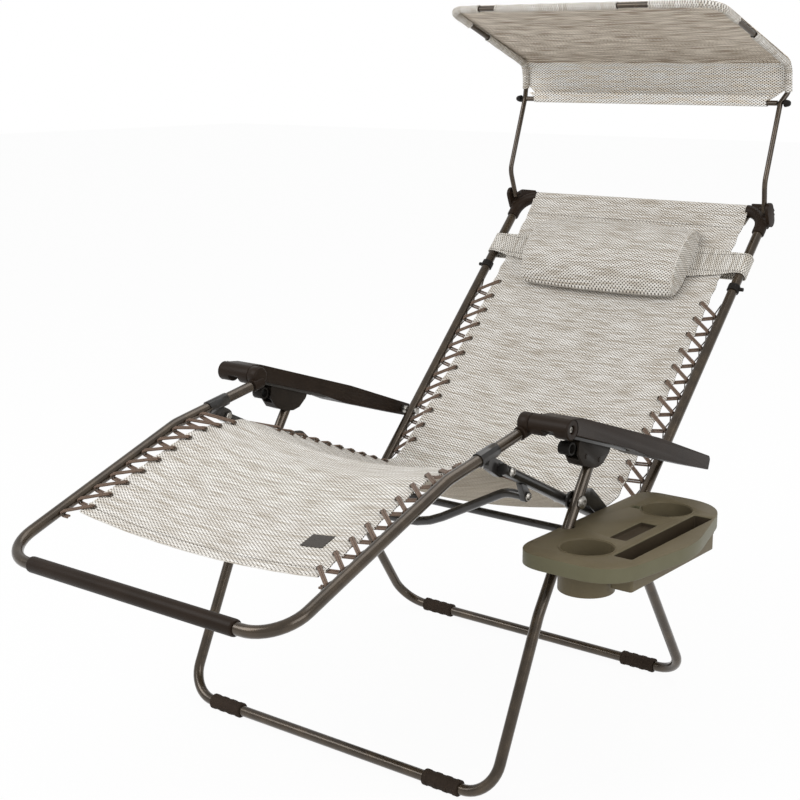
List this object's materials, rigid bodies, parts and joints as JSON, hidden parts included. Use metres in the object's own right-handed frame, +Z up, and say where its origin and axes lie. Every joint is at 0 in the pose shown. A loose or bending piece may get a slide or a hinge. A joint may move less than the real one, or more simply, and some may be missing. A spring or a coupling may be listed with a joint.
{
  "type": "sun lounger with canopy",
  "caption": "Folding sun lounger: tube frames on floor bars, laced mesh sling, armrests that move with the recline, head pillow, tilting canopy and a clip-on side tray with cup wells.",
  "frame": {"origin": "centre of the overall box, on the floor under the lounger", "axes": "+Z up, the sitter faces -Y so the foot end is at -Y and the head end at +Y, +X is the sitter's left, the tray's side"},
  "size_m": [0.9712, 1.5872, 1.3401],
  "materials": {
    "frame_bronze": "dark bronze powder coat, satin with a soft sparkle",
    "rail_black": "black powder coat, satin",
    "bolt_steel": "zinc plated, slightly dull",
    "arm_plastic": "brown, fine grain",
    "lock_plastic": "dark brown, fine grain",
    "tray_plastic": "olive brown, fine grain",
    "sleeve_rubber": "matte, ribbed",
    "sling_mesh": "open woven mesh of coated yarns, beige with white and grey",
    "lace_cord": "brown elastic cord and webbing",
    "label_cloth": "plain woven, dark and bare"
  },
  "bodies": {
    "base": {"front_leg_frame": "frame_bronze", "front_foot_sleeve_left": "sleeve_rubber", "front_foot_sleeve_right": "sleeve_rubber", "main_pivot_bolt_left": "bolt_steel", "main_pivot_bolt_right": "bolt_steel", "lock_housing_left": "lock_plastic", "lock_housing_right": "lock_plastic"},
    "rear_legs": {"rear_leg_frame": "frame_bronze", "rear_foot_sleeve_left": "sleeve_rubber", "rear_foot_sleeve_right": "sleeve_rubber", "rear_pivot_plate_left": "rail_black", "rear_pivot_plate_right": "rail_black"},
    "seat": {"seat_rail_left": "rail_black", "seat_rail_right": "rail_black", "curved_stretcher": "rail_black", "stretcher_bolt_left": "bolt_steel", "stretcher_bolt_right": "bolt_steel", "knee_bolt_left": "bolt_steel", "knee_bolt_right": "bolt_steel", "hip_bolt_left": "bolt_steel", "hip_bolt_right": "bolt_steel", "seat_sling": "sling_mesh"},
    "leg_rest": {"leg_rest_frame": "frame_bronze", "foot_grip": "arm_plastic", "knee_bracket_left": "rail_black", "knee_bracket_right": "rail_black", "arm_pivot_cap_left": "arm_plastic", "arm_pivot_cap_right": "arm_plastic", "leg_sling": "sling_mesh", "leg_lace_left": "lace_cord", "leg_lace_right": "lace_cord", "blank_label": "label_cloth"},
    "arm_left": {"armrest_left": "arm_plastic", "arm_screw_left": "bolt_steel", "track_liner_left": "bolt_steel"},
    "arm_right": {"armrest_right": "arm_plastic", "arm_screw_right": "bolt_steel", "track_liner_right": "bolt_steel"},
    "back": {"back_frame": "frame_bronze", "back_cross_bar": "frame_bronze", "corner_bracket_left": "arm_plastic", "corner_bracket_right": "arm_plastic", "arm_rear_pin_left": "bolt_steel", "arm_rear_pin_right": "bolt_steel", "back_sling": "sling_mesh", "back_lace_left": "lace_cord", "back_lace_right": "lace_cord", "strap_hook_left": "arm_plastic", "strap_hook_right": "arm_plastic"},
    "pillow": {"pillow": "sling_mesh", "pillow_strap": "sling_mesh"},
    "canopy": {"canopy_hoop": "frame_bronze", "canopy_bar": "frame_bronze", "canopy_knob_left": "arm_plastic", "canopy_knob_right": "arm_plastic", "canopy_cloth": "sling_mesh"},
    "lock_lever_left": {"lock_lever_left": "lock_plastic"},
    "lock_lever_right": {"lock_lever_right": "lock_plastic"},
    "tray": {"side_tray": "tray_plastic"}
  },
  "joints": [
    {"name": "seat_recline", "type": "hinge", "parent": "base", "child": "seat", "pos_m": [-0.0856, -0.06605, 0.476], "axis": [1, 0, 0], "range_deg": [-10.5, 10]},
    {"name": "back_recline", "type": "hinge", "parent": "seat", "child": "back", "pos_m": [-0.0856, 0.20243, 0.34214], "axis": [1, 0, 0], "range_deg": [-5.25, 5]},
    {"name": "leg_rest_tilt", "type": "hinge", "parent": "seat", "child": "leg_rest", "pos_m": [-0.0856, -0.24504, 0.56524], "axis": [1, 0, 0], "range_deg": [-10.14, 9.65]},
    {"name": "arm_left_swing", "type": "hinge", "parent": "leg_rest", "child": "arm_left", "pos_m": [0.2754, -0.15804, 0.62804], "axis": [1, 0, 0], "range_deg": [-10.1, 10.61]},
    {"name": "arm_right_swing", "type": "hinge", "parent": "leg_rest", "child": "arm_right", "pos_m": [-0.4466, -0.15804, 0.62804], "axis": [1, 0, 0], "range_deg": [-10.1, 10.61]},
    {"name": "rear_leg_fold", "type": "hinge", "parent": "base", "child": "rear_legs", "pos_m": [-0.0856, -0.06605, 0.476], "axis": [1, 0, 0], "range_deg": [-66, 0]},
    {"name": "canopy_tilt", "type": "hinge", "parent": "back", "child": "canopy", "pos_m": [-0.0856, 0.73045, 0.9195], "axis": [1, 0, 0], "range_deg": [-20, 35]},
    {"name": "pillow_slide", "type": "slide", "parent": "back", "child": "pillow", "axis": [0, 0.6972, 0.7169], "range_m": [-0.02, 0.06]},
    {"name": "lock_lever_left_pull", "type": "hinge", "parent": "base", "child": "lock_lever_left", "pos_m": [0.2714, -0.07073, 0.56494], "axis": [1, 0, 0], "range_deg": [0, 35], "stiffness_Nm_per_rad": 0.12, "springref_deg": -11.46},
    {"name": "lock_lever_right_pull", "type": "hinge", "parent": "base", "child": "lock_lever_right", "pos_m": [-0.4426, -0.07073, 0.56494], "axis": [1, 0, 0], "range_deg": [0, 35], "stiffness_Nm_per_rad": 0.12, "springref_deg": -11.46},
    {"name": "tray_unclip", "type": "slide", "parent": "base", "child": "tray", "axis": [1, 0, 0], "range_m": [0, 0.06]}
  ],
  "couplings": [
    {"joint": "back_recline", "follows": "seat_recline", "ratio": 0.5},
    {"joint": "leg_rest_tilt", "follows": "seat_recline", "ratio": 0.965},
    {"joint": "arm_left_swing", "follows": "seat_recline", "ratio": -1.01},
    {"joint": "arm_right_swing", "follows": "seat_recline", "ratio": -1.01}
  ]
}
